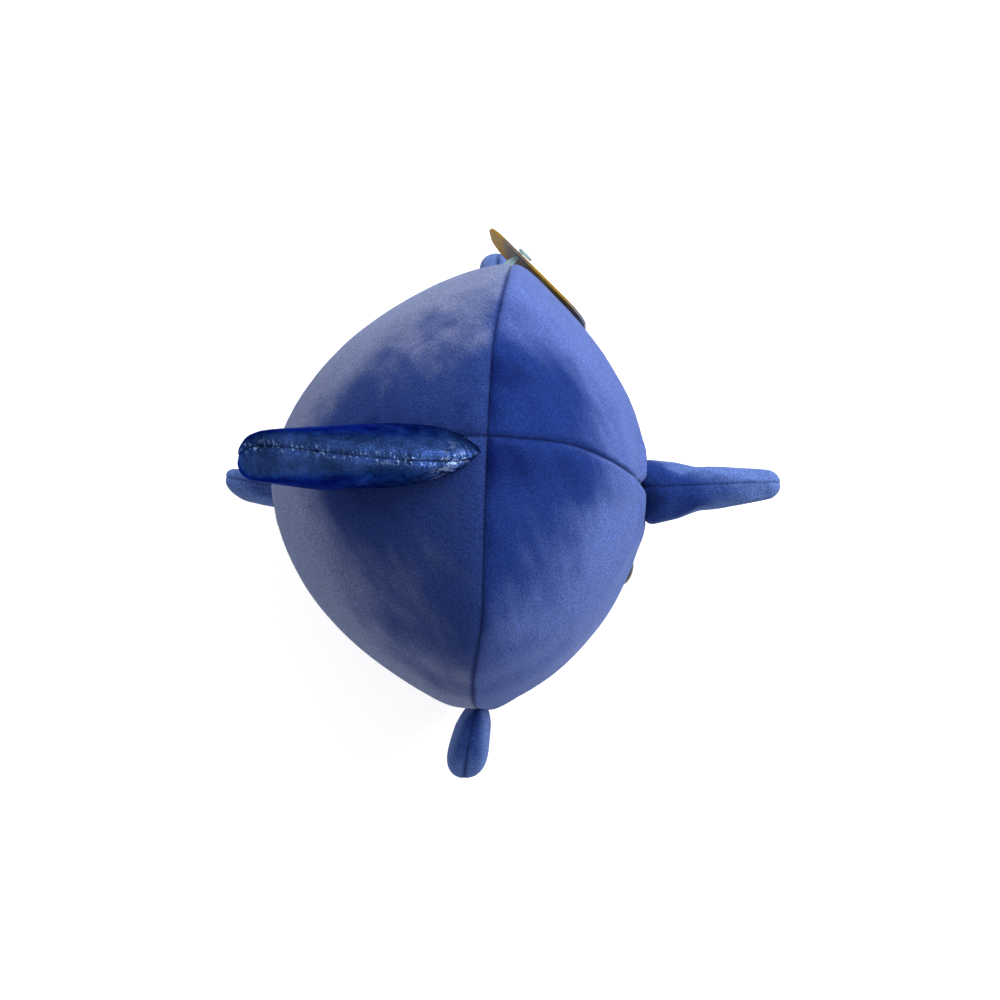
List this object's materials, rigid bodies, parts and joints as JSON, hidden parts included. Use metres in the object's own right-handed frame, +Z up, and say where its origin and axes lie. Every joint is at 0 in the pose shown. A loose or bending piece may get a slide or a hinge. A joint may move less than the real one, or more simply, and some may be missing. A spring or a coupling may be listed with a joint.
{
  "type": "plush swordfish",
  "caption": "Ball-shaped stuffed plush swordfish with a soft bill, shiny dorsal fin, tail, side fins and a blank hang tag; a free-standing soft toy whose limbs flop and spring back.",
  "frame": {"origin": "on the floor, in the middle of the flat sole, under the crossing of the upright seam and the middle seam", "axes": "+Z up, +X forwards towards the bill, +Y to the toy's left"},
  "size_m": [0.2331, 0.2388, 0.2058],
  "materials": {
    "front_plush": "matte",
    "back_plush": "matte",
    "bill_plush": "matte",
    "foil_fabric": "gloss",
    "tail_plush": "matte",
    "side_fin_plush": "satin",
    "fibrefill": "matte",
    "eye_black": "gloss",
    "washer_white": "matte",
    "tag_card": "satin",
    "loop_plastic": "gloss"
  },
  "bodies": {
    "body": {"front_left_panel": "front_plush", "front_right_panel": "front_plush", "back_left_panel": "back_plush", "back_right_panel": "back_plush", "body_stuffing": "fibrefill", "left_eye": "eye_black", "left_eye_washer": "washer_white", "right_eye": "eye_black", "right_eye_washer": "washer_white", "tag_loop": "loop_plastic"},
    "bill": {"bill_left_panel": "bill_plush", "bill_right_panel": "bill_plush", "bill_stuffing": "fibrefill"},
    "dorsal_fin": {"dorsal_fin_left_panel": "foil_fabric", "dorsal_fin_right_panel": "foil_fabric", "dorsal_fin_stuffing": "fibrefill"},
    "tail": {"tail_left_panel": "tail_plush", "tail_right_panel": "tail_plush", "tail_stuffing": "fibrefill"},
    "left_fin": {"left_fin_front_panel": "side_fin_plush", "left_fin_back_panel": "side_fin_plush", "left_fin_stuffing": "fibrefill"},
    "right_fin": {"right_fin_front_panel": "side_fin_plush", "right_fin_back_panel": "side_fin_plush", "right_fin_stuffing": "fibrefill"},
    "hang_tag": {"hang_tag": "tag_card"}
  },
  "joints": [
    {"name": "bill_sway", "type": "hinge", "parent": "body", "child": "bill", "pos_m": [0.06796, 0, 0.1005], "axis": [-0.1387, -0.0109, 0.9903], "range_deg": [-25, 25], "stiffness_Nm_per_rad": 0.08},
    {"name": "dorsal_fin_flop", "type": "hinge", "parent": "body", "child": "dorsal_fin", "pos_m": [-0.038, -0.004, 0.18367], "axis": [0.8561, 0, 0.5168], "range_deg": [-40, 25], "stiffness_Nm_per_rad": 0.08},
    {"name": "tail_wag", "type": "hinge", "parent": "body", "child": "tail", "pos_m": [-0.09315, 0, 0.06046], "axis": [-0.3085, 0, 0.9512], "range_deg": [-30, 30], "stiffness_Nm_per_rad": 0.08},
    {"name": "left_fin_flap", "type": "hinge", "parent": "body", "child": "left_fin", "pos_m": [-0.003, 0.09527, 0.06248], "axis": [0, 0.2222, 0.975], "range_deg": [-30, 30], "stiffness_Nm_per_rad": 0.08},
    {"name": "right_fin_flap", "type": "hinge", "parent": "body", "child": "right_fin", "pos_m": [-0.003, -0.09527, 0.06248], "axis": [0, -0.2222, 0.975], "range_deg": [-30, 30], "stiffness_Nm_per_rad": 0.08},
    {"name": "tag_swing", "type": "hinge", "parent": "body", "child": "hang_tag", "pos_m": [0.00609, 0.09595, 0.1049], "axis": [0.7193, -0.6947, 0], "range_deg": [0, 35]}
  ]
}
